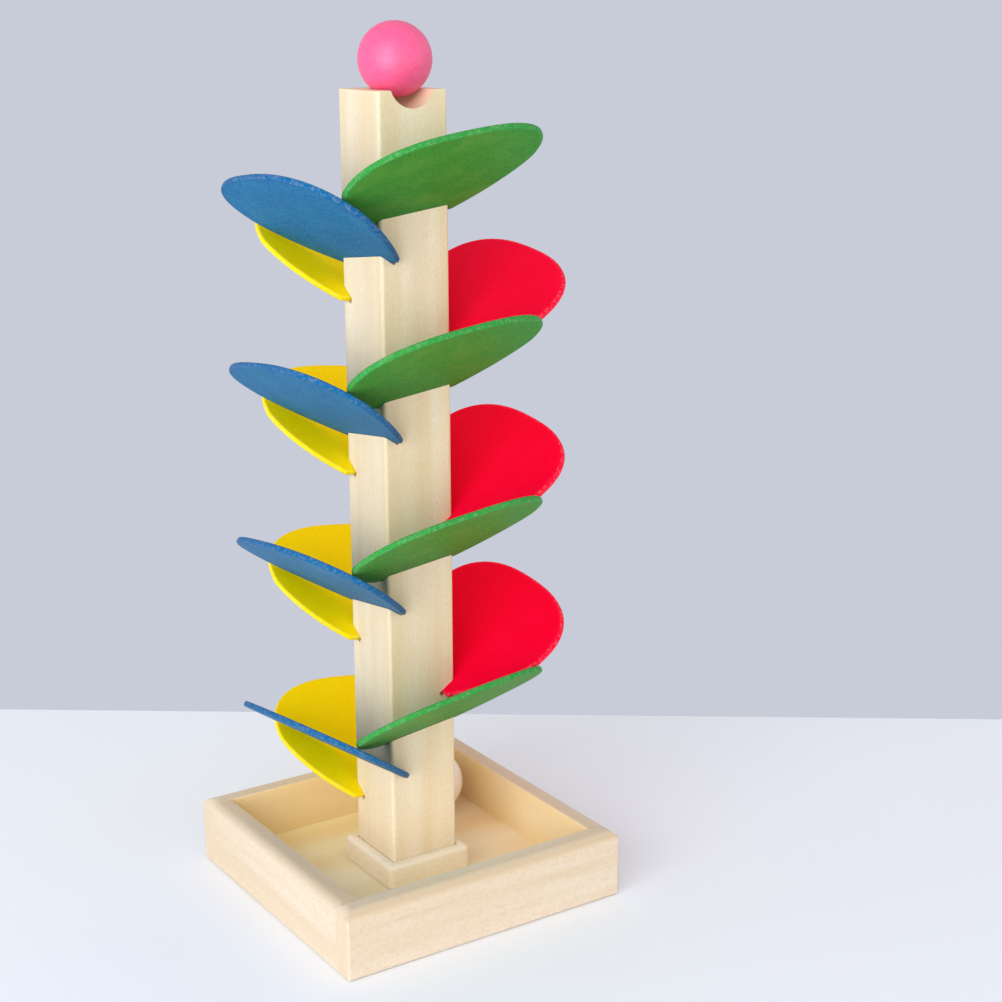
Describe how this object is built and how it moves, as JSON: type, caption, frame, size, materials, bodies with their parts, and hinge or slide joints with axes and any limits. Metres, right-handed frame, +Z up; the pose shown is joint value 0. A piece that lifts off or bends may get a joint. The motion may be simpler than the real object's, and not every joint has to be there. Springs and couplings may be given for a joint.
{
  "type": "tree marble run",
  "caption": "Wooden tree marble run: painted leaves spiral down a square post, and balls roll from leaf to leaf into a square tray.",
  "frame": {"origin": "middle of the tray's underside", "axes": "+Z up along the post, -Y the front, where the groove in the top of the post is open"},
  "size_m": [0.135, 0.135, 0.3715],
  "materials": {
    "tray_wood": "sanded pale beech with a thin matt oil",
    "floor_wood": "plain birch plywood",
    "collar_wood": "sanded pale beech",
    "post_wood": "sanded pale beech with fine pores",
    "green_paint": "satin green paint on thin plywood",
    "blue_paint": "satin blue paint on thin plywood",
    "yellow_paint": "satin yellow paint on thin plywood",
    "red_paint": "satin red paint on thin plywood",
    "pink_paint": "satin pink paint on a wooden ball",
    "ball_wood": "plain sanded wooden ball"
  },
  "bodies": {
    "base": {"tray_rail_front": "tray_wood", "tray_rail_back": "tray_wood", "tray_rail_left": "tray_wood", "tray_rail_right": "tray_wood", "tray_floor": "floor_wood", "post_collar": "collar_wood"},
    "trunk": {"post": "post_wood", "leaf_01_green": "green_paint", "leaf_02_blue": "blue_paint", "leaf_03_yellow": "yellow_paint", "leaf_04_red": "red_paint", "leaf_05_green": "green_paint", "leaf_06_blue": "blue_paint", "leaf_07_yellow": "yellow_paint", "leaf_08_red": "red_paint", "leaf_09_green": "green_paint", "leaf_10_blue": "blue_paint", "leaf_11_yellow": "yellow_paint", "leaf_12_red": "red_paint", "leaf_13_green": "green_paint", "leaf_14_blue": "blue_paint", "leaf_15_yellow": "yellow_paint"},
    "top_ball": {"ball_pink": "pink_paint"},
    "tray_ball": {"ball_natural": "ball_wood"}
  },
  "joints": [
    {"name": "trunk_lift", "type": "slide", "parent": "base", "child": "trunk", "axis": [0, 0, 1], "range_m": [0, 0.05]},
    {"name": "top_ball_roll", "type": "slide", "parent": "trunk", "child": "top_ball", "axis": [0, -1, 0], "range_m": [0, 0.013]},
    {"name": "tray_ball_roll", "type": "slide", "parent": "base", "child": "tray_ball", "axis": [1, 0, 0], "range_m": [-0.0787, 0.0057]}
  ]
}
